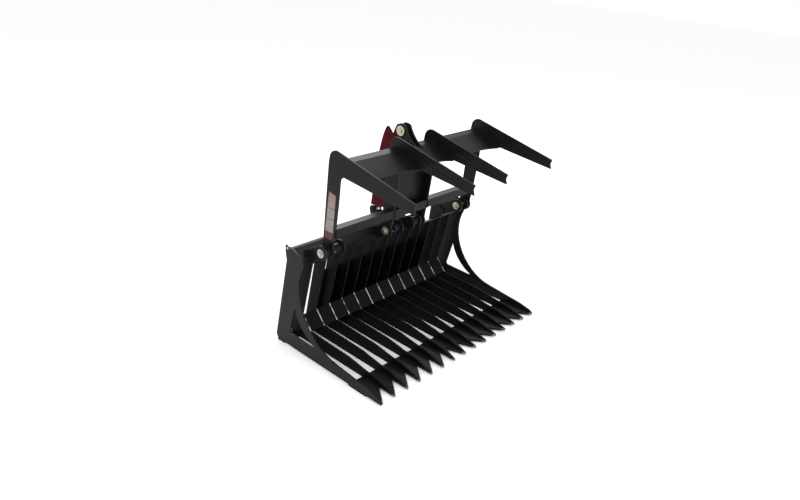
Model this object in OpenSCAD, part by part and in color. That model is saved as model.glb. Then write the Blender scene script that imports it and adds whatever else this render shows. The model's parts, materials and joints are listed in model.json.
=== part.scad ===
// Rock bucket with a hydraulic grapple lid, for a skid-steer loader.
// +Z is up, the teeth point along -Y, and Z = 0 is the ground under the wear bars.

/* [Bucket] */
// Width over the two side plates
bucket_w = 1829; // [1500:1:2100]
// Depth from the heel to the tooth tips
bucket_depth = 1096; // [1000:1:1200]
// Height of the side plates
side_h = 795; // [740:1:860]
// Thickness of a side plate
side_t = 14; // [10:1:16]
// Number of ribs between the side plates
rib_count = 13; // [13:2:13]
// Thickness of a rib
rib_t = 10; // [8:1:14]
// Height of a rib up to the top beam
rib_h = 660; // [620:1:680]
// Height of a rib where it lies as the floor
floor_h = 90; // [75:1:100]
// Depth of a rib where it stands as the back
back_d = 107; // [95:1:120]
// Lean of the back from the vertical, in degrees
back_lean = 9; // [7:0.5:10]
// Thickness of the heel plate in the corner of the ribs
heel_t = 8; // [6:1:10]

/* [Cutting edge] */
// Depth of the cutting edge from its rear edge to the tooth tips
edge_d = 296; // [270:1:310]
// Thickness of the cutting edge
edge_t = 16; // [12:1:20]
// Length of the tooth points in front of the notches
tooth_l = 148; // [120:1:170]
// Thickness of the wear bars under the bucket
wear_t = 11; // [8:1:14]
// Length of a skid pad under a side plate
pad_l = 180; // [140:1:200]
// Width of a skid pad
pad_w = 50; // [40:1:60]
// Width of the heel bar
heel_bar_w = 80; // [60:1:90]

/* [Top beam] */
// Wall of the formed top beam
beam_wall = 8; // [6:1:10]
// Length of the hose opening on the right of the beam
hose_gap_w = 360; // [300:1:380]
// Distance of the hose opening from the middle
hose_gap_x = 236; // [220:1:250]
// Thickness of the rear cross plate
cross_t = 10; // [8:1:12]
// Height of the rear cross plate
rear_plate_h = 40; // [30:1:44]

/* [Loader plate] */
// Width of the loader plate
mount_w = 1143; // [1100:1:1160]
// Height of the loader plate
mount_h = 450; // [430:1:470]
// Thickness of the loader plate
mount_t = 10; // [8:1:12]
// Depth of the lower flange
flange_d = 75; // [65:1:85]
// Distance of the middle of a lock pin slot from the end of the loader plate
slot_inset = 108; // [100:1:120]
// Length of a lock pin slot
slot_l = 60; // [50:1:64]
// Width of a lock pin slot
slot_w = 30; // [26:1:34]

/* [Lid pivot] */
// Forward distance of the pivot axis
pivot_fwd = 374; // [365:1:385]
// Height of the pivot axis
pivot_h = 809; // [800:1:820]
// Radius of a pivot pin
pin_r = 19; // [15:1:22]
// Outer radius of a pivot hub
hub_r = 36; // [32:1:40]
// Radius of the round end of a pivot ear
ear_r = 55; // [50:1:58]
// Thickness of a pivot ear
ear_t = 12; // [10:1:14]
// Radius of a pin head
head_r = 32; // [28:1:34]
// Thickness of a pin head
head_t = 10; // [8:1:12]

/* [Grapple lid] */
// Height of a lid arm above the pivot
lid_h = 740; // [700:1:780]
// Reach of a finger in front of the pivot
lid_reach = 742; // [700:1:780]
// Thickness of a lid arm
arm_t = 12; // [10:1:14]
// Distance of the outer arms from the outside of the side plates
arm_inset = 146.5; // [140:0.5:160]
// Distance of the inner arms from the middle
inner_arm_x = 186; // [180:1:200]
// Thickness of the upper cross plate
lid_plate_t = 8; // [6:1:10]
// Size of the lower square tube
tube_w = 63.5; // [60:0.5:68]
// Wall of the lower square tube
tube_wall = 5; // [4:0.5:6]

/* [Cylinder] */
// Outer radius of the barrel
barrel_r = 38; // [35:1:40]
// Radius of the cylinder bore
bore_r = 32; // [29:1:33]
// Radius of the rod
rod_r = 19; // [16:1:22]
// Radius of the cylinder pins
cyl_pin_r = 16; // [14:1:18]
// Width of a cylinder eye
eye_w = 40; // [36:1:44]
// Thickness of the cylinder ears
cyl_ear_t = 12; // [10:1:14]
// Thickness of the guard cheeks
guard_t = 8; // [6:1:10]

/* [Hidden] */
$fn = 64;

paint = "#242424";
zinc = "#b9b7a8";
red = "#7a1822";
chrome = "#d0d2d4";

// Radial clearance of a turning or sliding fit
fit = 0.05;
// Gap between two faces that move past each other
side_gap = 0.4;
// Overrun of every cut
over = 1;
// Segments of a rounded corner, and of a curved edge
corner_steps = 6;
curve_steps = 14;

half_in = bucket_w / 2 - side_t;
pitch = (bucket_w - side_t) / (rib_count + 1);
heel_mid = heel_bar_w * 3 / 4;
pivot = [pivot_fwd, pivot_h];
outer_arm_x = bucket_w / 2 - arm_inset;
slot_pitch = mount_w - 2 * slot_inset;

function unit(v) = v / norm(v);
function mix(a, b, s) = a + (b - a) * s;
function turn(v) = [-v.y, v.x];
function scaled(shares, w, h) = [for (s = shares) [s[0] * w, s[1] * h]];
function curve(a, b, c, d, n = curve_steps) = [
    for (i = [0:n])
        let (s = i / n, q = 1 - s)
            q * q * q * a + 3 * q * q * s * b + 3 * q * s * s * c + s * s * s * d
];

// Points of a corner at b between a and c, rounded with radius r
function corner(a, b, c, r) =
    let (u = unit(a - b), w = unit(c - b), half = acos(u * w) / 2)
    let (o = b + unit(u + w) * r / sin(half))
    let (from = b + u * r / tan(half) - o, to = b + w * r / tan(half) - o)
    let (a0 = atan2(from.y, from.x), raw = atan2(to.y, to.x) - a0)
    let (sweep = raw > 180 ? raw - 360 : raw < -180 ? raw + 360 : raw)
        [for (i = [0:corner_steps]) o + r * [cos(a0 + sweep * i / corner_steps), sin(a0 + sweep * i / corner_steps)]];

// Outline with each corner rounded by its own radius
function rounded(pts, radii) = [
    for (i = [0:len(pts) - 1])
        each radii[i] > 0
            ? corner(pts[(i + len(pts) - 1) % len(pts)], pts[i], pts[(i + 1) % len(pts)], radii[i])
            : [pts[i]]
];

// Convex outline moved inwards by t
function inset(pts, t) = [
    for (i = [0:len(pts) - 1])
        let (b = pts[i], u = unit(pts[(i + len(pts) - 1) % len(pts)] - b), w = unit(pts[(i + 1) % len(pts)] - b))
            b + unit(u + w) * t / sin(acos(u * w) / 2)
];

// Sheet of thickness t under the line a, b, c
function sheet(a, b, c, t) =
    let (n1 = turn(unit(b - a)), n2 = turn(unit(c - b)))
    let (m = unit(n1 + n2), s = t / (m * n1))
        [a, b, c, c + n2 * -t, b + m * -s, a + n1 * -t];

// The bucket's own frame: forward distances turn to -Y, and the wear bars lift it off the ground
module in_frame() translate([0, heel_mid, wear_t]) children();

// Plate of thickness t, centred on x, whose outline is drawn as forward distance and height
module upright(x, t) in_frame()
    translate([x - t / 2, 0, 0]) rotate([90, 0, 90]) linear_extrude(t) mirror([1, 0]) children();

// Round bar or tube along X between x0 and x1 at a point given as forward distance and height
module bar(p, x0, x1, r, hole = 0) in_frame() translate([x0, -p.x, p.y]) rotate([0, 90, 0])
    difference() {
        cylinder(h = x1 - x0, r = r);
        if (hole > 0) translate([0, 0, -over]) cylinder(h = x1 - x0 + 2 * over, r = hole);
    }

// Side plates
side_front_shares = [[0.261, 0.874], [0.124, 0.494], [0.361, 0.126], [0.589, 0.111]];
side_top_shares = [[0.097, 0.853], [0.083, 0.943], [0.083, 0.999], [0.112, 0.977], [0.152, 0.987], [0.246, 0.935]];
side_toe_shares = [[0.88, 0.07], [0.975, 0.043]];
side_nose_share = 0.014;
window_front_shares = [[0.388, 0.145], [0.301, 0.189], [0.214, 0.296], [0.187, 0.428]];
window_foot_shares = [[0.137, 0.135], [0.388, 0.13]];
heel_round = 40;
window_round = 18;

module side_outline() {
    top = scaled(side_top_shares, bucket_depth, side_h);
    front = scaled(side_front_shares, bucket_depth, side_h);
    toe = scaled(side_toe_shares, bucket_depth, side_h);
    tip = [bucket_depth, side_nose_share * bucket_depth];
    polygon(concat(
        corner([bucket_depth, 0], [0, 0], top[0], heel_round),
        top, curve(front[0], front[1], front[2], front[3]), toe, [tip, [bucket_depth, 0]]
    ));
}

module window_outline() {
    front = scaled(window_front_shares, bucket_depth, side_h);
    foot = scaled(window_foot_shares, bucket_depth, side_h);
    polygon(concat(
        corner(foot[1], foot[0], front[3], window_round), [front[3]],
        [for (i = [1:curve_steps - 1]) curve(front[0], front[1], front[2], front[3])[curve_steps - i]],
        [front[0], foot[1]]
    ));
}

module side_plate(side) color(paint) upright(side * (bucket_w - side_t) / 2, side_t)
    difference() {
        side_outline();
        window_outline();
    }

// Ribs: each is one flat plate with an upright back, a low floor and a ridge on its tooth
rib_foot = 12;
rib_inner_shares = [0.312, 0.183];
heel_low_shares = [0.218, 0.094];
rib_ridge_shares = [[0.59, 1], [0.756, 0.711], [0.838, 0.667]];
rib_set = 4;
rib_top_fall = 70;

function back_y(z) = rib_foot + tan(back_lean) * z;
heel_top = [back_y(rib_inner_shares[0] * rib_h) + back_d - rib_foot + rib_set, rib_inner_shares[0] * rib_h];
heel_low = [heel_low_shares[0] * bucket_depth, heel_low_shares[1] * bucket_depth];
beam_foot = [back_y(rib_h) + back_d + rib_foot - rib_set, rib_h];
rib_top = [back_y(rib_h - rib_top_fall), rib_h - rib_top_fall];
beam_toe = beam_foot + unit(beam_foot - rib_top) * beam_wall;
edge_back = bucket_depth - edge_d;

module rib_outline() {
    ridge = scaled(rib_ridge_shares, bucket_depth, floor_h);
    polygon(concat(
        [[back_y(0), 0], rib_top, beam_foot, heel_top, heel_low],
        ridge, [[bucket_depth - rib_t / 2, edge_t + rib_t / 4], [bucket_depth - rib_t / 2, edge_t]],
        [[edge_back, edge_t], [edge_back, 0]]
    ));
}

module rib(i) color(paint) upright((i - (rib_count + 1) / 2) * pitch, rib_t) rib_outline();

// Heel plate: a strip between each two ribs, set back behind their slanting edges
heel_set = 3;

module heel_plate() color(paint) for (i = [1:rib_count - 1])
    upright((rib_x(i) + rib_x(i + 1)) / 2, pitch - rib_t) {
        n = -turn(unit(heel_low - heel_top));
        front = n * sign(n.x) * -heel_set;
        back = n * sign(n.x) * -(heel_set + heel_t);
        polygon([heel_top + front, heel_low + front, heel_low + back, heel_top + back]);
    }

// Cutting edge: teeth lie straight along the ribs on their outer side and slope to the next rib inside
notch_back = bucket_depth - tooth_l;
function rib_x(i) = (i - (rib_count + 1) / 2) * pitch;
function tooth(i, s) = [
    [s * (rib_x(i) - rib_t / 2), bucket_depth], [s * (rib_x(i) + rib_t / 2), bucket_depth],
    [s * (rib_x(i + 1) - (i + 1 == (rib_count + 1) / 2 ? pitch / 2 : rib_t / 2)), notch_back]
];

module cutting_edge() color(paint) in_frame() mirror([0, 1, 0]) linear_extrude(edge_t) {
    last = (rib_count + 1) / 2;
    left = [for (i = [1:last - 1]) each tooth(i, 1)];
    right = [for (i = [1:last - 1]) each tooth(last - i, -1)];
    mirrored = [for (i = [0:len(left) - 1]) [-left[len(left) - 1 - i].x, left[len(left) - 1 - i].y]];
    first = [[-half_in, bucket_depth], [-half_in + rib_t / 2, bucket_depth], [rib_x(1) - rib_t / 2, notch_back]];
    end = [for (p = [first[2], first[1], first[0]]) [-p.x, p.y]];
    middle = [[-rib_t / 2, bucket_depth], [rib_t / 2, bucket_depth]];
    polygon(concat([[-half_in, edge_back]], first, left, middle, mirrored, end, [[half_in, edge_back]]));
}

// Wear bars under the bucket
pad_share = 0.793;
pad_round = 12;

module skid_pads() color(paint) for (s = [-1, 1])
    translate([s * (bucket_w - pad_w) / 2, heel_mid - pad_share * bucket_depth, 0])
        linear_extrude(wear_t) polygon(rounded(
            [[-pad_w / 2, -pad_l / 2], [pad_w / 2, -pad_l / 2], [pad_w / 2, pad_l / 2], [-pad_w / 2, pad_l / 2]],
            [pad_round, pad_round, pad_round, pad_round]
        ));

module heel_bar() color(paint) translate([-bucket_w / 2, -heel_bar_w / 2, 0])
    cube([bucket_w, heel_bar_w, wear_t]);

// Top beam: a formed box on top of the ribs, open above its bottom plate where the hoses pass
beam_nose = [257, 733];
beam_crest = [152, 779];
beam_rear = [119, 776];
beam = [rib_top, beam_toe, beam_nose, beam_crest, beam_rear];

module beam_box(x0, x1, cap_x) {
    upright((x0 + x1) / 2, x1 - x0) difference() {
        polygon(beam);
        polygon(inset(beam, beam_wall));
    }
    upright(cap_x, beam_wall) polygon(beam);
}

module top_beam() color(paint) union() {
    beam_box(-half_in, hose_gap_x, hose_gap_x - beam_wall / 2);
    beam_box(hose_gap_x + hose_gap_w, half_in, hose_gap_x + hose_gap_w + beam_wall / 2);
    upright(hose_gap_x + hose_gap_w / 2, hose_gap_w)
        polygon([beam[0], beam[1], beam[1] + [0, beam_wall], beam[0] + [0, beam_wall]]);
}

// Plates behind the ribs: a low strip on the beam's rear wall, and the loader plate along the lean of the back
mount_z = 22;
lip_out = 40;

function behind(z, t) = [back_y(z) - t / cos(back_lean), z];

module rear_cross_plate() color(paint) upright((hose_gap_x - mount_w / 2) / 2, hose_gap_x + mount_w / 2) {
    top = rib_top + unit(beam_rear - rib_top) * rear_plate_h;
    polygon([rib_top, rib_top - [cross_t, 0], top - [cross_t, 0], top]);
}

// Loader plate: a hooked lip above takes the loader's frame, a slotted flange below takes its lock pins
module loader_plate() color(paint) difference() {
    upright(0, mount_w) {
        top = mount_z + mount_h;
        out = behind(top, mount_t);
        foot = behind(mount_z, 0);
        polygon([
            foot, behind(top, 0), out + [-mount_t / 2, 0], out + [-lip_out, -lip_out],
            out + [mount_t * 0.7 - lip_out, -lip_out - mount_t * 0.7], behind(top - mount_t * 1.4, mount_t),
            behind(mount_z + mount_t, mount_t), [foot.x - flange_d, mount_z + mount_t],
            [foot.x - flange_d, mount_z]
        ]);
    }
    in_frame() for (s = [-1, 1]) for (e = [-1, 1])
        translate([s * slot_pitch / 2 + e * (slot_l - slot_w) / 2, slot_y, mount_z - over])
            cylinder(h = mount_t + 2 * over, d = slot_w);
    in_frame() for (s = [-1, 1])
        translate([(s * slot_pitch - slot_l + slot_w) / 2, slot_y - slot_w / 2, mount_z - over])
            cube([slot_l - slot_w, slot_w, mount_t + 2 * over]);
}
slot_y = flange_d / 2 + mount_t / 2 - back_y(mount_z);

// Pivot ears: pairs of plates on the beam that hold the four pins
ear_clear = 20;
ear_far = 60;
ear_near = 108;
left_ear_x = [outer_arm_x + ear_far, outer_arm_x - ear_near];
right_ear_x = [outer_arm_x - arm_t / 2 - ear_clear, outer_arm_x - ear_near];
inner_ear_x = [146, 62];
ear_seat_share = 0.35;
ear_foot_share = 0.6;

module ear_outline() {
    seat = mix(beam_crest, beam_nose, ear_seat_share);
    foot = mix(beam_nose, beam_toe, ear_foot_share);
    difference() {
        union() {
            translate(pivot) circle(ear_r);
            polygon([seat, pivot + ear_r * [-sin(10), cos(10)], pivot + ear_r * [-sin(10), -cos(10)], foot, beam_nose]);
        }
        translate(pivot) circle(pin_r + fit);
    }
}

module pivot_ears(xs) color(paint) for (x = xs) upright(x, ear_t) ear_outline();

module spacer_tubes() color(paint) for (s = [-1, 1])
    bar(pivot, s < 0 ? -inner_ear_x[0] + ear_t / 2 : inner_ear_x[1] + ear_t / 2,
        s < 0 ? -inner_ear_x[1] - ear_t / 2 : inner_ear_x[0] - ear_t / 2, hub_r, pin_r + fit);

// Pivot pins: a flat zinc head outside, a bolt and washer on the other end
boss_out = 8;
end_boss = 2;
inner_pin_x = [inner_ear_x[1] - ear_t / 2, inner_arm_x + arm_t / 2 + boss_out + side_gap];
left_pin_x = [left_ear_x[1] - ear_t / 2, left_ear_x[0] + ear_t / 2];
right_pin_x = [right_ear_x[1] - ear_t / 2, outer_arm_x + arm_t / 2 + end_boss + side_gap];
head_rim = 3;

module pin_body(x0, x1) union() {
    bar(pivot, x0, x1, pin_r);
    bar(pivot, x1, x1 + head_t, head_r);
    bar(pivot, x1 + head_t, x1 + head_t + head_rim, head_r / 2);
}

module pivot_pin(xs, side) color(zinc) mirror([side < 0 ? 1 : 0, 0, 0]) pin_body(xs[0], xs[1]);

washer_r = 28;
washer_t = 5;
bolt_af = 24;
bolt_h = 8;

module end_bolt(p, x, dir) mirror([dir < 0 ? 1 : 0, 0, 0]) union() {
    bar(p, x, x + washer_t, washer_r);
    in_frame() translate([x + washer_t, -p.x, p.y]) rotate([0, 90, 0])
        cylinder(h = bolt_h, d = bolt_af / cos(30), $fn = 6);
}

module pin_end_bolts() color(paint) {
    for (s = [-1, 1]) end_bolt(pivot, -inner_pin_x[0], s);
    end_bolt(pivot, -left_pin_x[0], 1);
    end_bolt(pivot, right_pin_x[1], 1);
    for (s = [-1, 1]) end_bolt(base, bracket_x + cyl_ear_t / 2, s);
}

// Lid arms: one flat plate each, with a leg up from the pivot and a finger forward
arm_post_shares = [[-0.041, 0.85], [-0.02, 1.003]];
finger_shares = [[1, 0.785], [0.984, 0.739], [1, 0.689]];
arm_inner_shares = [0.117, 0.772];
leg_front_shares = [[0.115, 0.68], [0.108, 0.446], [0.089, 0.27]];
arm_top_round = 62;
arm_inner_round = 40;
arm_foot_r = 56;
foot_start = 35;
foot_steps = 24;
half_turn = 180;

function lid_point(s) = pivot + [s[0] * lid_reach, s[1] * lid_h];

module arm_outline() {
    post = [for (s = arm_post_shares) lid_point(s)];
    finger = [for (s = finger_shares) lid_point(s)];
    inner = lid_point(arm_inner_shares);
    leg = [for (s = leg_front_shares) lid_point(s)];
    foot = [
        for (i = [0:foot_steps]) let (a = foot_start - (half_turn + foot_start) * i / foot_steps)
            pivot + arm_foot_r * [cos(a), sin(a)]
    ];
    polygon(concat(
        [post[0]], corner(post[0], post[1], finger[0], arm_top_round), finger,
        corner(finger[2], inner, leg[0], arm_inner_round), curve(leg[0], leg[1], leg[2], foot[0]),
        [for (i = [1:foot_steps]) foot[i]]
    ));
}

tube_from_pivot = [33, 149];
tube_mid = pivot + tube_from_pivot;

module tube_section(w) translate(tube_mid - [w, w] / 2) square(w);

module lid_arm(x) color(paint) upright(x, arm_t) difference() {
    arm_outline();
    translate(pivot) circle(hub_r + fit);
    if (abs(x) < outer_arm_x) tube_section(tube_w);
}

hub_x = [
    [left_ear_x[1] + ear_t / 2 + side_gap, left_ear_x[0] - ear_t / 2 - side_gap],
    [inner_ear_x[0] + ear_t / 2 + side_gap, inner_pin_x[1] - side_gap],
    [inner_ear_x[0] + ear_t / 2 + side_gap, inner_pin_x[1] - side_gap],
    [right_ear_x[0] + ear_t / 2 + side_gap, right_pin_x[1] - side_gap]
];

module lid_hub(i) color(paint) mirror([i < 3 ? 1 : 0, 0, 0])
    bar(pivot, hub_x[i - 1][0], hub_x[i - 1][1], hub_r, pin_r + fit);

// Upper cross plate: bent sheet between the arms, its front edge arched between them
plate_from_pivot = [[6, 648], [65, 637], [271, 556]];
lid_flange = pivot + plate_from_pivot[0];
lid_bend = pivot + plate_from_pivot[1];
lid_front = pivot + plate_from_pivot[2];
arch = 30;

module cross_plate(x0, x1) color(paint) difference() {
    upright((x0 + x1) / 2, x1 - x0) polygon(sheet(lid_flange, lid_bend, lid_front, lid_plate_t));
    r = (pow((x1 - x0) / 2, 2) + arch * arch) / (2 * arch);
    in_frame() translate([(x0 + x1) / 2, -lid_front.x - over - r + arch, lid_front.y - lid_h / 2])
        cylinder(h = lid_h, r = r, $fn = 160);
}

// Centre plate between the inner arms, behind the lower tube
centre_rise = 521;
centre_top = pivot_h + centre_rise;

module centre_plate() color(paint) upright(0, 2 * inner_arm_x - arm_t) {
    back = tube_mid.x - tube_w / 2;
    low = tube_mid.y - tube_w / 2;
    polygon([[back - lid_plate_t, low], [back, low], [back, centre_top], [back - lid_plate_t, centre_top]]);
}

module lower_tube() color(paint) upright(0, 2 * outer_arm_x - arm_t) difference() {
    tube_section(tube_w);
    tube_section(tube_w - 2 * tube_wall);
}

strip_t = 5;
strip_shares = [[0.385, 0.826], [0.836, 0.731], [0.857, 0.708], [0.385, 0.753]];

module finger_strips() color(paint) for (x = [-inner_arm_x, inner_arm_x])
    upright(x - (arm_t + strip_t) / 2, strip_t) polygon([for (s = strip_shares) lid_point(s)]);

// Cylinder ears on the upper cross plate
eye_from_pivot = [-74, 725];
top_eye = pivot + eye_from_pivot;
top_ear_r = 54;
ear_x = (eye_w + cyl_ear_t) / 2 + side_gap;

module cylinder_ear(side) color(paint) upright(side * ear_x, cyl_ear_t) difference() {
    union() {
        translate(top_eye) circle(top_ear_r);
        polygon(concat(
            [top_eye + top_ear_r * [cos(60), -sin(60)], lid_flange, lid_bend, mix(lid_bend, lid_front, 0.3)],
            curve(mix(lid_bend, lid_front, 0.3), mix(lid_bend, lid_front, 0.1) + [0, top_ear_r],
                top_eye + top_ear_r * [2, 0.6], top_eye + top_ear_r * [cos(60), sin(60)])
        ));
    }
    translate(top_eye) circle(cyl_pin_r + fit);
}

// Guard cheeks on each side of the cylinder, welded to the back of the centre plate
guard_x = 56;
guard_from_pivot = [[-170, 739], [-224, 591], [-244, 371], [-282, 84]];
guard_back = [for (p = guard_from_pivot) pivot + p];

module guard(side) color(red) upright(side * guard_x, guard_t) {
    front = tube_mid.x - tube_w / 2 - lid_plate_t;
    polygon(concat(
        curve(guard_back[0], guard_back[1], guard_back[2], guard_back[3]),
        [[front, tube_mid.y - tube_w / 2], [front, lid_flange.y - lid_plate_t * 2]],
        [guard_back[0] + [top_ear_r, -top_ear_r * 1.6], guard_back[0] + [top_ear_r * 0.4, 0]]
    ));
}

upper_head_r = 38;

module upper_pin() color(zinc) union() {
    bar(top_eye, -ear_x - cyl_ear_t / 2, ear_x + cyl_ear_t / 2, cyl_pin_r);
    bar(top_eye, -ear_x - cyl_ear_t / 2 - head_t, -ear_x - cyl_ear_t / 2, upper_head_r);
    bar(top_eye, ear_x + cyl_ear_t / 2, ear_x + cyl_ear_t / 2 + washer_t, washer_r);
}

// Cylinder: drawn downwards from its top eye, along the line to the base pin
base = [72, 840];
reach = base - top_eye;
cyl_len = norm(reach);
cyl_tilt = atan2(-reach.x, -reach.y);
cap_l = 45;
tube_end = 100;
gland_l = 36;
gland_r = 42;
piston_l = 40;
rod_eye_r = 32;
weld_l = 34;
neck_l = 75;

module on_cylinder() in_frame() translate([0, -top_eye.x, top_eye.y]) rotate([cyl_tilt, 0, 0]) children();

module eye(r) rotate([0, 90, 0]) translate([0, 0, -eye_w / 2]) cylinder(h = eye_w, r = r);
module eye_hole() rotate([0, 90, 0]) translate([0, 0, -eye_w]) cylinder(h = 2 * eye_w, r = cyl_pin_r + fit);

port_r = 15;
port_h = 14;

module cylinder_barrel() color(paint) on_cylinder() difference() {
    union() {
        eye(rod_eye_r);
        translate([0, 0, -neck_l - cap_l / 2]) cylinder(h = neck_l + cap_l / 2, r = eye_w / 2);
        translate([0, 0, tube_end - cyl_len]) cylinder(h = cyl_len - tube_end - neck_l, r = barrel_r);
        for (z = [-neck_l - cap_l, tube_end + gland_l - cyl_len])
            translate([0, barrel_r - weld_l / 4, z]) rotate([-90, 0, 0]) cylinder(h = port_h + weld_l / 4, r = port_r);
    }
    eye_hole();
    translate([0, 0, tube_end - cyl_len - over]) cylinder(h = cyl_len - tube_end - cap_l - neck_l + over, r = bore_r);
}

module cylinder_gland() color(paint) on_cylinder() difference() {
    union() {
        translate([0, 0, tube_end - cyl_len]) cylinder(h = gland_l, r = bore_r);
        translate([0, 0, tube_end - cyl_len - gland_l / 2]) cylinder(h = gland_l / 2, r = gland_r);
    }
    translate([0, 0, tube_end - cyl_len - gland_l]) cylinder(h = 3 * gland_l, r = rod_r + fit);
}

piston_z = -cap_l - neck_l - piston_l - weld_l / 4;

module cylinder_rod() color(chrome) on_cylinder() difference() {
    union() {
        translate([0, 0, -cyl_len]) cylinder(h = piston_z + cyl_len, r = rod_r);
        translate([0, 0, -cyl_len]) cylinder(h = rod_eye_r + weld_l / 2, r = eye_w / 2);
        translate([0, 0, -cyl_len]) eye(rod_eye_r);
    }
    translate([0, 0, -cyl_len]) eye_hole();
}

module cylinder_piston() color(chrome) on_cylinder() translate([0, 0, piston_z]) cylinder(h = piston_l, r = bore_r - 2 * fit);

module lower_pin() color(zinc) bar(base, -bracket_x + cyl_ear_t / 2 + side_gap, bracket_x - cyl_ear_t / 2 - side_gap, cyl_pin_r);

// Base bracket of the cylinder, welded to the back of the beam
bracket_x = ear_x + side_gap;
bracket_r = 36;
bracket_low_share = 0.75;

module cylinder_bracket() color(paint) for (s = [-1, 1]) upright(s * bracket_x, cyl_ear_t) {
    wall_low = mix(beam_rear, beam[0], bracket_low_share);
    union() {
        translate(base) circle(bracket_r);
        polygon([
            base + bracket_r * [cos(60), sin(60)], mix(beam_rear, beam_crest, 0.8), beam_rear, wall_low,
            base + bracket_r * [-cos(10), -sin(10)]
        ]);
    }
}

side_plate(-1);  // side_plate_left
side_plate(1);  // side_plate_right
rib(1);  // rib_1
rib(2);  // rib_2
rib(3);  // rib_3
rib(4);  // rib_4
rib(5);  // rib_5
rib(6);  // rib_6
rib(7);  // rib_7
rib(8);  // rib_8
rib(9);  // rib_9
rib(10);  // rib_10
rib(11);  // rib_11
rib(12);  // rib_12
rib(13);  // rib_13
heel_plate();
cutting_edge();
top_beam();
rear_cross_plate();
loader_plate();
skid_pads();
heel_bar();
pivot_ears(-left_ear_x);  // pivot_ears_1
pivot_ears(-inner_ear_x);  // pivot_ears_2
pivot_ears(inner_ear_x);  // pivot_ears_3
pivot_ears(right_ear_x);  // pivot_ears_4
spacer_tubes();
pivot_pin(left_pin_x, -1);  // pivot_pin_1
pivot_pin(inner_pin_x, -1);  // pivot_pin_2
pivot_pin(inner_pin_x, 1);  // pivot_pin_3
pivot_pin([-right_pin_x[1], -right_pin_x[0]], -1);  // pivot_pin_4
pin_end_bolts();
cylinder_bracket();
lid_arm(-outer_arm_x);  // lid_arm_1
lid_arm(-inner_arm_x);  // lid_arm_2
lid_arm(inner_arm_x);  // lid_arm_3
lid_arm(outer_arm_x);  // lid_arm_4
lid_hub(1);  // lid_hub_1
lid_hub(2);  // lid_hub_2
lid_hub(3);  // lid_hub_3
lid_hub(4);  // lid_hub_4
cross_plate(-outer_arm_x + arm_t / 2, -inner_arm_x - arm_t / 2);  // cross_plate_left
cross_plate(-inner_arm_x + arm_t / 2, inner_arm_x - arm_t / 2);  // cross_plate_middle
cross_plate(inner_arm_x + arm_t / 2, outer_arm_x - arm_t / 2);  // cross_plate_right
centre_plate();
lower_tube();
finger_strips();
cylinder_ear(-1);  // cylinder_ear_left
cylinder_ear(1);  // cylinder_ear_right
guard(-1);  // guard_left
guard(1);  // guard_right
upper_pin();
cylinder_barrel();
cylinder_gland();
cylinder_rod();
cylinder_piston();
lower_pin();
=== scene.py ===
import json
import math

import bpy
from mathutils import Matrix, Vector


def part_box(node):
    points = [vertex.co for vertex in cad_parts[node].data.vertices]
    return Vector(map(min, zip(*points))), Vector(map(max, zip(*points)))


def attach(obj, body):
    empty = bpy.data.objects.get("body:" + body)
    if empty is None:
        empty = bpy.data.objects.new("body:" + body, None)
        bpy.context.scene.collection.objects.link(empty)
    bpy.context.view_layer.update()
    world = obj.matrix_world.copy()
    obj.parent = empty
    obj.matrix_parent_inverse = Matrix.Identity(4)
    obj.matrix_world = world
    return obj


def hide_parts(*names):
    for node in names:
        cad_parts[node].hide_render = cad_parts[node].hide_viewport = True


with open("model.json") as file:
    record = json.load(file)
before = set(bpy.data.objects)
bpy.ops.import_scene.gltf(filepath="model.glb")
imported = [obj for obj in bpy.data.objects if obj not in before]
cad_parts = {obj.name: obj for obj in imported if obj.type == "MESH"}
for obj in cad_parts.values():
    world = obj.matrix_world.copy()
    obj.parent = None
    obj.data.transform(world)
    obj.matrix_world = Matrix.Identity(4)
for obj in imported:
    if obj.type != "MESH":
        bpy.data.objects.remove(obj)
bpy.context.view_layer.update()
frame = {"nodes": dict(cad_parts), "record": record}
millimetre = 0.001

# Camera: stands in front of the left corner, above the lid, and leans a little, as the
# photograph was framed. Its place was fitted to the tooth tips and the floor lines.
camera_turn = math.radians(49.33)
camera_drop = math.radians(23.02)
camera_lean = math.radians(5.0)
camera_place = Vector((-3.744, -3.497, 2.900))
focal_pixels = 698
frame_pixels = 800
centre_offset_pixels = 25
forward = Vector((
    math.sin(camera_turn) * math.cos(camera_drop),
    math.cos(camera_turn) * math.cos(camera_drop),
    -math.sin(camera_drop),
))
level = Vector((math.cos(camera_turn), -math.sin(camera_turn), 0))
upward = level.cross(forward)
right = level * math.cos(camera_lean) + upward * math.sin(camera_lean)
up = upward * math.cos(camera_lean) - level * math.sin(camera_lean)
bpy.ops.object.camera_add()
camera = bpy.context.object
camera.name = "photo_camera"
camera.data.sensor_width = 36
camera.data.lens = focal_pixels / frame_pixels * camera.data.sensor_width
camera.data.shift_y = -centre_offset_pixels / frame_pixels
turned = Matrix((right, up, -forward)).transposed().to_4x4()
camera.matrix_world = Matrix.Translation(camera_place) @ turned
bpy.context.scene.camera = camera

# Studio: a plain white floor under soft light from the upper left, as on a product photograph,
# with a weaker light behind that draws the edges of the black steel.
floor_size = 60
lamp_plan = [
    ("key_light", (-6.0, -3.0, 6.5), 5.0, 340),
    ("front_light", (1.5, -7.0, 5.0), 5.0, 120),
    ("rim_light", (4.5, 5.0, 5.5), 4.0, 260),
]
aim = Vector((0, -0.4, 0.7))


def linear(hex_code):
    """Linear colour of an sRGB hex value."""
    parts = [int(hex_code[i:i + 2], 16) / 255 for i in (1, 3, 5)]
    return [p / 12.92 if p <= 0.04045 else ((p + 0.055) / 1.055) ** 2.4 for p in parts] + [1]


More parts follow.
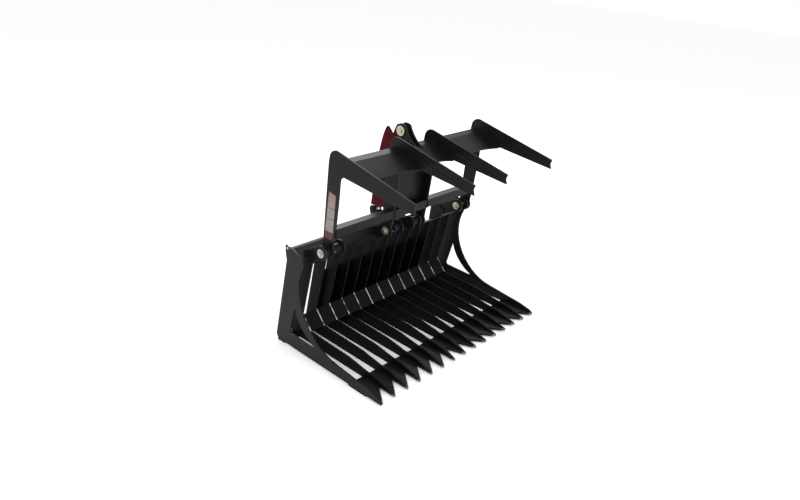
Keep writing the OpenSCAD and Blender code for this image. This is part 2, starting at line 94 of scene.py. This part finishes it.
def add(material, kind, values=None, links=None, **settings):
    """Adds a node with its settings, its values and its links, and returns it."""
    made = material.node_tree.nodes.new(kind)
    for name, value in settings.items():
        setattr(made, name, value)
    for name, value in (values or {}).items():
        made.inputs[name].default_value = value
    for name, socket in (links or {}).items():
        material.node_tree.links.new(socket, made.inputs[name])
    return made


def new_material(name):
    """Empty node material with its shader and its object coordinates."""
    material = bpy.data.materials.new(name)
    material.use_nodes = True
    shader = material.node_tree.nodes["Principled BSDF"]
    place = add(material, "ShaderNodeTexCoord").outputs["Object"]
    return material, shader, place


bpy.ops.mesh.primitive_plane_add(size=floor_size)
floor = bpy.context.object
floor.name = "studio_floor"
floor_paper, floor_shader = new_material("matte_white_paper")[:2]
floor_shader.inputs["Base Color"].default_value = linear("#fbfbfb")
floor_shader.inputs["Roughness"].default_value = 0.9
floor.data.materials.append(floor_paper)

for lamp_name, lamp_place, lamp_size, lamp_power in lamp_plan:
    bpy.ops.object.light_add(type="AREA", location=lamp_place)
    lamp = bpy.context.object
    lamp.name = lamp_name
    lamp.data.size = lamp_size
    lamp.data.energy = lamp_power
    lamp.rotation_euler = (aim - Vector(lamp_place)).to_track_quat("-Z", "Y").to_euler()
world = bpy.data.worlds.new("studio_air")
world.use_nodes = True
world.node_tree.nodes["Background"].inputs["Color"].default_value = (1, 1, 1, 1)
world.node_tree.nodes["Background"].inputs["Strength"].default_value = 1.0
bpy.context.scene.world = world
bpy.context.scene.view_settings.view_transform = "Standard"

# Cut steel plates: laser-cut sheet steel, deburred so that every edge has a fine round, and powder coated in
# satin black after welding.
# The rounded edges are coated a lighter black, a painted highlight along every edge.
plate_edge = 1.6 * millimetre
corner_angle = math.radians(40)
bend_angle = math.radians(10)
peel_size = 3
peel_depth = 0.2 * millimetre
peel_strength = 0.12
cloud_size = 180
rub_size = 14
coat_gloss = 0.13
body_of = {
    node: body
    for body, nodes in frame["record"]["behaviour"]["bodies"].items()
    for node in nodes
}


def grain(material, place, size, detail=2):
    """Noise with a grain of a given size in millimetres."""
    noise = add(
        material,
        "ShaderNodeTexNoise",
        {"Scale": 1 / (size * millimetre), "Detail": detail},
        {"Vector": place},
    )
    return noise.outputs["Fac"]


def ranged(material, socket, values):
    """A value taken from one range to another."""
    return add(material, "ShaderNodeMapRange", values, {"Value": socket}).outputs["Result"]


def blend(material, share, first, second):
    """The colour at a share of the way from first to second, each a hex value or a socket."""
    values = {}
    links = {0: share}
    for number, colour in ((6, first), (7, second)):
        if isinstance(colour, str):
            values[number] = linear(colour)
        else:
            links[number] = colour
    return add(material, "ShaderNodeMix", values, links, data_type="RGBA").outputs[2]


def connect(shader, sockets):
    """Links each socket to the shader's input of that name."""
    for name, socket in sockets.items():
        shader.id_data.links.new(socket, shader.inputs[name])


def powder_coat(name, colour, worn, rough, gloss_level=coat_gloss):
    """Powder coat: even colour, orange-peel surface, softer gloss in faint clouds."""
    material, shader, place = new_material(name)
    cloud = grain(material, place, cloud_size, 4)
    tone = ranged(material, cloud, {"From Min": 0.35, "From Max": 0.7})
    rub = grain(material, place, rub_size, 6)
    gloss = ranged(material, rub, {"To Min": rough - 0.06, "To Max": rough + 0.1})
    peel = grain(material, place, peel_size)
    relief = {"Strength": peel_strength, "Distance": peel_depth}
    bump = add(material, "ShaderNodeBump", relief, {"Height": peel})
    connect(shader, {
        "Base Color": blend(material, tone, colour, worn),
        "Roughness": gloss,
        "Normal": bump.outputs["Normal"],
    })
    shader.inputs["Specular IOR Level"].default_value = gloss_level
    return material


black_coat = powder_coat("satin_black_powder_coat", "#0d0d0e", "#141415", 0.36)
# Lighter black for the rounded plate edges: a painted highlight along them.
edge_highlight_coat = powder_coat("black_coat_painted_edge_highlight", "#1c1c1d", "#39383a", 0.3)


def deselect():
    """Leaves object mode with nothing selected."""
    if bpy.context.object and bpy.context.object.mode != "OBJECT":
        bpy.ops.object.mode_set(mode="OBJECT")
    bpy.ops.object.select_all(action="DESELECT")


def choose(piece):
    """Selects one piece alone and makes it active."""
    deselect()
    piece.select_set(True)
    bpy.context.view_layer.objects.active = piece


def apply(piece, kind, **settings):
    """Adds a modifier to a piece and applies it."""
    choose(piece)
    modifier = piece.modifiers.new(kind.lower(), kind)
    for name, value in settings.items():
        setattr(modifier, name, value)
    bpy.ops.object.modifier_apply(modifier=modifier.name)


def deburred(node, material, edge=plate_edge, rim=None, cutter=None):
    """A copy of the CAD plate with merged points, cut where asked, its edges rounded in the rim coat, a
    lighter black that paints a highlight where one is given.
    """
    piece = bpy.data.objects.new(node + "_plate", frame["nodes"][node].data.copy())
    bpy.context.collection.objects.link(piece)
    piece.data.materials.clear()
    piece.data.materials.append(material)
    piece.data.materials.append(rim or material)
    choose(piece)
    bpy.ops.object.mode_set(mode="EDIT")
    bpy.ops.mesh.select_all(action="SELECT")
    bpy.ops.mesh.remove_doubles(threshold=0.01 * millimetre)
    bpy.ops.mesh.dissolve_limited(angle_limit=math.radians(1))
    bpy.ops.object.mode_set(mode="OBJECT")
    if cutter:
        apply(piece, "BOOLEAN", object=cutter, operation="DIFFERENCE", solver="EXACT")
    apply(piece, "BEVEL", width=edge, segments=2, limit_method="ANGLE", angle_limit=corner_angle, material=1)
    choose(piece)
    bpy.ops.object.shade_smooth_by_angle(angle=bend_angle)
    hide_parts(node)
    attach(piece, body_of[node])
    return piece


plate_names = (
    "side_plate", "lid_arm", "cross_plate", "pivot_ears", "cylinder_bracket", "top_beam",
    "rear_cross", "loader_plate", "centre_plate", "lower_tube", "finger_strips",
)
for plate in [node for node in frame["nodes"] if node.startswith(plate_names)]:
    deburred(plate, black_coat, rim=edge_highlight_coat)

# Hose opening: the beam's right-hand box is cut square close before the outer ears, so its end plate
# stands further right than on the plain solid and daylight shows over the ribs.
end_plate_left = 594 * millimetre
end_plate_right = 608 * millimetre
cut_back = 46 * millimetre
beam = bpy.data.objects["top_beam_plate"]
choose(beam)
for point in beam.data.vertices:
    point.select = end_plate_left < point.co.x < end_plate_right
bpy.ops.object.mode_set(mode="EDIT")
bpy.ops.mesh.select_mode(type="VERT")
bpy.ops.transform.translate(value=(cut_back, 0, 0))
bpy.ops.object.mode_set(mode="OBJECT")

# Ears of the upper cylinder pin: thick cut plates on the upper cross plate. A large hollow curve
# runs from their round head down to their toe.
hollow_r = 300 * millimetre
hollow_y = -550.7 * millimetre
hollow_z = 1715 * millimetre
deselect()
bpy.ops.mesh.primitive_cylinder_add(
    vertices=160,
    radius=hollow_r,
    depth=hollow_r,
    location=(0, hollow_y, hollow_z),
    rotation=(0, math.radians(90), 0),
)
hollow = bpy.context.object
bpy.ops.object.transform_apply(location=True, rotation=True, scale=True)
for ear in ("cylinder_ear_left", "cylinder_ear_right"):
    deburred(ear, black_coat, rim=edge_highlight_coat, cutter=hollow)
bpy.data.objects.remove(hollow)

# Ribs and heel strips: laser-cut plates stood on edge, coated a darker black than the rest, a painted shade
# for the deep inside of the bucket.
# The slanting edges in the heel corner are coated pale steel in stretches, a painted highlight where light
# glints on them.
rib_names = ["rib_%d" % number for number in range(1, 14)]
heel_low, heel_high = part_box("heel_plate")
heel_slope = 0.4
scratch_size = 5
patch_size = 55


def glint_in_patches(name, coat, steel, rough):
    """Painted highlight on an edge: pale scratched metal in stretches between remains of the coat."""
    material, shader, place = new_material(name)
    scratch = grain(material, place, scratch_size, 5)
    patch = grain(material, place, patch_size, 3)
    bare_and_glint = ranged(material, patch, {"From Min": 0.4, "From Max": 0.56})
    glint_metal = blend(material, scratch, steel, "#8d8882")
    connect(shader, {
        "Base Color": blend(material, bare_and_glint, coat, glint_metal),
        "Roughness": ranged(material, scratch, {"To Min": rough - 0.1, "To Max": rough + 0.1}),
        "Metallic": bare_and_glint,
    })
    return material


# Darker black with less gloss: painted shade on the ribs and heel strips.
inside_shade_coat = powder_coat("black_coat_darkened_as_painted_shade", "#070707", "#0b0b0b", 0.5, 0.07)
heel_edge_highlight = glint_in_patches("pale_steel_painted_highlight", "#101010", "#e4dfd6", 0.42)
for rib in rib_names:
    piece = deburred(rib, inside_shade_coat, rim=edge_highlight_coat)
    piece.data.materials.append(heel_edge_highlight)
    # Slanting faces in the heel corner take the pale steel of the painted highlight.
    for face in piece.data.polygons:
        slanting = face.normal.y < -heel_slope and face.normal.z > heel_slope
        if slanting and heel_low.z < face.center.z < heel_high.z:
            face.material_index = 2
deburred("heel_plate", inside_shade_coat)

# Cutting edge, skid pads and heel bar: hard steel plate, painted with the rest, with the paint
# rubbed thin to bare metal along the tooth points.
edge_low, edge_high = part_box("cutting_edge")
point_length = 60 * millimetre
bare_size = 9


def rubbed_coat():
    """Black coat that gives way to bare steel towards the tooth points, in ragged patches."""
    material = powder_coat("rubbed_black_coat_on_hard_steel", "#0d0d0e", "#151413", 0.38)
    shader = material.node_tree.nodes["Principled BSDF"]
    place = add(material, "ShaderNodeTexCoord").outputs["Object"]
    along = add(material, "ShaderNodeSeparateXYZ", links={"Vector": place}).outputs["Y"]
    near = ranged(material, along, {"From Min": edge_low.y + point_length, "From Max": edge_low.y})
    patch = grain(material, place, bare_size, 5)
    both = add(material, "ShaderNodeMath", links={0: near, 1: patch}, operation="MULTIPLY").outputs[0]
    bare_and_glint = ranged(material, both, {"From Min": 0.32, "From Max": 0.42})
    painted = shader.inputs["Base Color"].links[0].from_socket
    connect(shader, {
        "Base Color": blend(material, bare_and_glint, painted, "#8c8278"),
        "Metallic": bare_and_glint,
    })
    return material


edge_coat = rubbed_coat()
for bar in ("cutting_edge", "skid_pads", "heel_bar"):
    deburred(bar, edge_coat)

# Pins: turned steel, zinc plated with a faint yellow passivation, so their flat heads show bright
# against the black coat. Each is pushed through its ears and locked by a bolt.
turned_edge = 1.2 * millimetre
turned_size = 6


def zinc_plate():
    """Zinc plating: pale metal with a faint yellow film and fine cloudy gloss."""
    material, shader, place = new_material("yellow_zinc_plated_steel")
    film = grain(material, place, turned_size, 3)
    connect(shader, {
        "Base Color": blend(material, film, "#b8b6ae", "#a79f80"),
        "Roughness": ranged(material, film, {"To Min": 0.24, "To Max": 0.44}),
    })
    shader.inputs["Metallic"].default_value = 1
    return material


zinc = zinc_plate()
for pin in ["pivot_pin_%d" % number for number in range(1, 5)] + ["upper_pin", "lower_pin"]:
    deburred(pin, zinc, turned_edge)

# Hexagon bolts: cold-forged heads on the flat heads of the pivot pins, on the upper cylinder pin
# and on the spikes of the side plates, zinc plated like the pins.
pin_bolt_across = 30 * millimetre
pin_bolt_rise = 9 * millimetre
spike_bolt_across = 17 * millimetre
spike_bolt_rise = 7 * millimetre
spike_y = -59 * millimetre
spike_z = 787 * millimetre
chamfer = 1.5 * millimetre
bolted_pins = (
    ("pivot_pin_1", -1),
    ("pivot_pin_2", -1),
    ("pivot_pin_3", 1),
    ("pivot_pin_4", -1),
    ("upper_pin", -1),
)


def hexagon_bolt(name, foot, side, across, rise, body):
    """A hexagon head with a chamfered rim, standing out from its foot along X."""
    deselect()
    bpy.ops.mesh.primitive_cylinder_add(
        vertices=6,
        radius=across / math.sqrt(3),
        depth=rise,
        location=Vector(foot) + Vector((side * rise / 2, 0, 0)),
        rotation=(0, math.radians(90), 0),
    )
    bolt = bpy.context.object
    bolt.name = name
    bpy.ops.object.transform_apply(location=True, rotation=True, scale=True)
    apply(bolt, "BEVEL", width=chamfer, segments=2, limit_method="ANGLE")
    bolt.data.materials.append(zinc)
    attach(bolt, body)


for pin, side in bolted_pins:
    low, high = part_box(pin)
    head = (low.x if side < 0 else high.x, (low.y + high.y) / 2, (low.z + high.z) / 2)
    hexagon_bolt(pin + "_bolt", head, side, pin_bolt_across, pin_bolt_rise, body_of[pin])
for plate, outwards in (("side_plate_left", -1), ("side_plate_right", 1)):
    low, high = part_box(plate)
    for face, side in ((low.x, -1), (high.x, 1)):
        name = "%s_bolt_%s" % (plate, "out" if side == outwards else "in")
        foot = (face, spike_y, spike_z)
        hexagon_bolt(name, foot, side, spike_bolt_across, spike_bolt_rise, body_of[plate])

# Hubs, spacer tubes and pin ends: turned tube, welded into the arms and between the ears, with a
# washer and a bolt on the plain end of each pivot pin, all coated black.
for turning in ["lid_hub_%d" % number for number in range(1, 5)] + ["spacer_tubes", "pin_end_bolts"]:
    deburred(turning, black_coat, turned_edge)

# Grease nipples: small turned nipples with a ball end, one screwed into the front of each hub of
# the lid and plated like the pins.
collar_r = 5 * millimetre
stem_r = 4 * millimetre
stem_rise = 7 * millimetre
ball_r = 3.2 * millimetre
hub_r = 36 * millimetre
nipple_inset = 9 * millimetre
nipple_way = Vector((0, -1, 0))
crease_angle = math.radians(32)
pivot = Vector(frame["record"]["behaviour"]["joints"][0]["pos_m"])


def finished(piece, name, material, body):
    """Takes a piece's place into its mesh and gives it its name, coat and body."""
    choose(piece)
    bpy.ops.object.transform_apply(location=True, rotation=True, scale=True)
    piece.name = name
    piece.data.materials.clear()
    piece.data.materials.append(material)
    bpy.ops.object.shade_smooth_by_angle(angle=crease_angle)
    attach(piece, body)


def joined(name, parts, material, body):
    """Makes several meshes into one finished piece."""
    choose(parts[0])
    for part in parts:
        part.select_set(True)
    bpy.ops.object.join()
    finished(parts[0], name, material, body)


def grease_nipple(name, foot):
    """A nipple that stands on its foot and points forwards, made of a collar, a stem and a ball."""
    facing = nipple_way.to_track_quat("Z", "Y").to_euler()
    deselect()
    bpy.ops.mesh.primitive_cylinder_add(
        vertices=6,
        radius=collar_r,
        depth=stem_rise / 2,
        location=foot + nipple_way * stem_rise / 4,
        rotation=facing,
    )
    parts = [bpy.context.object]
    bpy.ops.mesh.primitive_cone_add(
        vertices=16,
        radius1=stem_r,
        radius2=stem_r / 2,
        depth=stem_rise / 2,
        location=foot + nipple_way * stem_rise * 0.75,
        rotation=facing,
    )
    parts.append(bpy.context.object)
    bpy.ops.mesh.primitive_uv_sphere_add(
        segments=14,
        ring_count=8,
        radius=ball_r,
        location=foot + nipple_way * (stem_rise + ball_r / 2),
        rotation=facing,
    )
    parts.append(bpy.context.object)
    joined(name, parts, zinc, "lid")


hubs = [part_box("lid_hub_%d" % number) for number in range(1, 5)]
nipple_places = (
    (hubs[0][0].x + hubs[0][1].x) / 2,
    hubs[1][1].x - nipple_inset,
    hubs[2][0].x + nipple_inset,
    hubs[3][0].x + nipple_inset / 2,
)
for number, nipple_x in enumerate(nipple_places, 1):
    grease_nipple("hub_nipple_%d" % number, Vector((nipple_x, pivot.y - hub_r, pivot.z)))

# Weld seams of the ribs: stitches of gas-shielded weld, each a row of overlapping ripples, join
# every rib to the cutting edge, the top beam and the heel strips, and are coated with the plates.
ripple_r = 3.6 * millimetre
ripple_step = 3.4 * millimetre
stitch = 90 * millimetre
stitch_gap = 70 * millimetre
heel_wall = 6 * millimetre
rib_front_y = -171.5 * millimetre
seam_inset = 30 * millimetre
seam_lift = 16 * millimetre


def weld_run(start, end):
    """A straight run of weld from start to end."""
    start, end = Vector(start), Vector(end)
    count = max(2, round((end - start).length / ripple_step))
    deselect()
    bpy.ops.mesh.primitive_uv_sphere_add(segments=6, ring_count=4, radius=ripple_r, location=start)
    run = bpy.context.object
    bpy.ops.object.transform_apply(location=True)
    apply(
        run,
        "ARRAY",
        count=count,
        use_relative_offset=False,
        use_constant_offset=True,
        constant_offset_displace=(end - start) / count,
    )
    return run


def stitches(start, end):
    """Short runs of weld with gaps between them."""
    start, end = Vector(start), Vector(end)
    length = (end - start).length
    way = (end - start) / length
    runs = max(1, round((length + stitch_gap) / (stitch + stitch_gap)))
    pitch = (length - stitch) / (runs - 1) if runs > 1 else 0
    reach = min(stitch, length)
    return [weld_run(start + way * pitch * i, start + way * (pitch * i + reach)) for i in range(runs)]


ribs = [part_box(name) for name in rib_names]
beam_low, beam_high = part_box("top_beam")
ridge_end_y = edge_low.y + point_length
seam_end_y = beam_high.y - seam_inset
seam_end_z = beam_low.z + seam_lift
rib_runs = []
for low, high in ribs:
    for face in (low.x, high.x):
        rib_runs += stitches((face, edge_high.y, edge_high.z), (face, ridge_end_y, edge_high.z))
        rib_runs += stitches((face, rib_front_y, high.z), (face, seam_end_y, seam_end_z))
for left, right in zip(ribs[:-1], ribs[1:]):
    for face in (left[1].x, right[0].x):
        roof = (face, heel_high.y - heel_wall, heel_high.z)
        rib_runs.append(weld_run(roof, (face, heel_low.y, heel_low.z + heel_wall)))
joined("bucket_rib_welds", rib_runs, black_coat, "bucket")

# Weld seams of the pivot ears: unbroken runs up from the beam's nose towards its crest and down
# towards its toe, on both faces of every ear.
ear_t = 12 * millimetre
nose = Vector((0, -197 * millimetre, 744 * millimetre))
crest = Vector((0, -92 * millimetre, 790 * millimetre))
toe = Vector((0, -179 * millimetre, 675 * millimetre))
crest_share = 0.65
toe_share = 0.6
ear_runs = []
for low, high in [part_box("pivot_ears_%d" % number) for number in range(1, 5)]:
    for face in (low.x, low.x + ear_t, high.x - ear_t, high.x):
        along = Vector((face, 0, 0))
        ear_runs.append(weld_run(along + nose, along + nose.lerp(crest, crest_share)))
        ear_runs.append(weld_run(along + nose, along + nose.lerp(toe, toe_share)))
joined("ear_welds", ear_runs, black_coat, "bucket")

# Weld seams of the lid: runs round the lower tube and under the bend of the upper cross plate on
# every inner face of the arms, and a ring of weld round each hub.
plate_foot = Vector((0, -6 * millimetre, 648 * millimetre))
plate_bend = Vector((0, -65 * millimetre, 637 * millimetre))
plate_front = Vector((0, -271 * millimetre, 556 * millimetre))
ring_segments = 48


def weld_ring(centre, radius):
    """A run of weld round a hub."""
    deselect()
    bpy.ops.mesh.primitive_torus_add(
        location=centre,
        rotation=(0, math.radians(90), 0),
        major_radius=radius,
        minor_radius=ripple_r,
        major_segments=ring_segments,
        minor_segments=8,
    )
    return bpy.context.object


lid_runs = []
tube_low, tube_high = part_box("lower_tube")
for number in range(1, 5):
    low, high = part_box("lid_arm_%d" % number)
    both_faces = (low.x, high.x)
    for face in {1: (high.x,), 4: (low.x,)}.get(number, both_faces):
        corners = (
            (face, tube_low.y, tube_low.z),
            (face, tube_high.y, tube_low.z),
            (face, tube_high.y, tube_high.z),
            (face, tube_low.y, tube_high.z),
        )
        lid_runs += [weld_run(corners[k], corners[(k + 1) % 4]) for k in range(4)]
        hinge = Vector((face, pivot.y, pivot.z))
        lid_runs.append(weld_run(hinge + plate_foot, hinge + plate_bend))
        lid_runs.append(weld_run(hinge + plate_bend, hinge + plate_front))
    for face in {2: (low.x,), 3: (high.x,)}.get(number, both_faces):
        lid_runs.append(weld_ring((face, pivot.y, pivot.z), hub_r))
joined("lid_welds", lid_runs, black_coat, "lid")

# Cylinder: a drawn steel barrel with its gland, coated black with the plates, and a ground and
# hard-chromed rod that slides in it.
rod_edge = 1.0 * millimetre
ground_size = 1.5


def hard_chrome():
    """Ground and chromed rod: bright, with a fine unevenness in its gloss."""
    material, shader, place = new_material("hard_chromed_rod")
    ground = grain(material, place, ground_size)
    connect(shader, {"Roughness": ranged(material, ground, {"To Min": 0.08, "To Max": 0.16})})
    shader.inputs["Base Color"].default_value = linear("#d8d9db")
    shader.inputs["Metallic"].default_value = 1
    return material


chrome = hard_chrome()
for tube in ("cylinder_barrel", "cylinder_gland"):
    deburred(tube, black_coat, turned_edge)
for rod in ("cylinder_rod", "cylinder_piston"):
    deburred(rod, chrome, rod_edge)

# Port plugs: hexagon plugs of zinc-plated steel in both ports of the barrel, as such a cylinder has
# until its hoses are fitted.
upper_port = 120 * millimetre
lower_port = 594.5 * millimetre
port_reach = 52 * millimetre
plug_r = 12 * millimetre
plug_rise = 8 * millimetre
eye = Vector(frame["record"]["behaviour"]["joints"][1]["pos_m"])
rod_way = Vector(frame["record"]["behaviour"]["joints"][2]["axis"])
port_way = Vector((0, -rod_way.z, rod_way.y))
for port, along in (("upper", upper_port), ("lower", lower_port)):
    deselect()
    bpy.ops.mesh.primitive_cylinder_add(
        vertices=6,
        radius=plug_r,
        depth=plug_rise,
        location=eye + rod_way * along + port_way * (port_reach + plug_rise / 2),
        rotation=port_way.to_track_quat("Z", "Y").to_euler(),
    )
    plug = bpy.context.object
    apply(plug, "BEVEL", width=chamfer, segments=2, limit_method="ANGLE")
    finished(plug, "%s_port_plug" % port, zinc, "barrel")

# Guard cheeks: sheet steel on each side of the cylinder, coated deep red. Their rear edge is swept
# back in one round line, fullest below the head, and their brow stands up close under the pin.
cheek_sweep = 20 * millimetre
cheek_crown = 12 * millimetre
cheek_brow = 31 * millimetre
brow_shares = (0.3, 0.45)
red_coat = powder_coat("deep_red_powder_coat", "#3a050b", "#460a11", 0.34, 0.05)
for cheek in ("guard_left", "guard_right"):
    piece = deburred(cheek, red_coat)
    low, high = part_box(cheek)
    for vertex in piece.data.vertices:
        depth = (vertex.co.y - low.y) / (high.y - low.y)
        if brow_shares[0] < depth < brow_shares[1]:
            vertex.co.z += cheek_brow
        else:
            fall = max(0, min(1, (high.z - vertex.co.z) / (high.z - low.z)))
            fullness = cheek_sweep + cheek_crown * math.sin(math.pi * fall ** 0.5)
            vertex.co.y += min(1, 2 * depth) * fullness

# Plain panel on the leg of the first arm: a thin printed vinyl sheet, worn silver grey, with a
# dark red band at its foot and a rosy fade at its head, slanted with the arm.
panel_head = ((-302 * millimetre, 1256 * millimetre), (-369 * millimetre, 1241 * millimetre))
panel_foot = ((-273 * millimetre, 911 * millimetre), (-353 * millimetre, 911 * millimetre))
panel_fade = 1120 * millimetre
panel_band = 969 * millimetre
panel_bars = (1140 * millimetre, 1062 * millimetre)
bar_half = 2.5 * millimetre
panel_t = 0.5 * millimetre
panel_round = 5 * millimetre
scuff_size = 22


def printed_vinyl():
    """Vinyl film: soft gloss, scuffed silver grey with dark bars, between a red foot and a rosy head."""
    material, shader, place = new_material("scuffed_printed_vinyl")
    height = add(material, "ShaderNodeSeparateXYZ", links={"Vector": place}).outputs["Z"]
    scuff = grain(material, place, scuff_size, 6)
    silver = blend(material, scuff, "#4f4b48", "#8f8880")
    head = ranged(material, height, {"From Min": panel_fade, "From Max": panel_head[0][1]})
    rosy = blend(material, head, silver, "#7c5350")
    foot = ranged(material, height, {"From Min": panel_band, "From Max": panel_band - millimetre})
    colour = blend(material, foot, rosy, "#3c0d10")
    for bar_height in panel_bars:
        band = {1: bar_height, 2: bar_half}
        bar = add(material, "ShaderNodeMath", band, {0: height}, operation="COMPARE").outputs[0]
        colour = blend(material, bar, colour, "#2c2a29")
    connect(shader, {
        "Base Color": colour,
        "Roughness": ranged(material, scuff, {"To Min": 0.3, "To Max": 0.55}),
    })
    return material


deselect()
bpy.ops.mesh.primitive_plane_add(
    size=1,
    location=(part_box("lid_arm_1")[0].x - panel_t / 2, 0, 0),
    rotation=(0, math.radians(90), 0),
)
panel = bpy.context.object
panel.name = "leg_panel"
bpy.ops.object.transform_apply(location=True, rotation=True, scale=True)
for corner in panel.data.vertices:
    side = 0 if corner.co.y > 0 else 1
    corner.co.y, corner.co.z = (panel_head if corner.co.z > 0 else panel_foot)[side]
apply(panel, "SOLIDIFY", thickness=panel_t, offset=0)
apply(panel, "BEVEL", width=panel_round, segments=4, limit_method="ANGLE", angle_limit=math.radians(60))
panel.data.materials.append(printed_vinyl())
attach(panel, "lid")
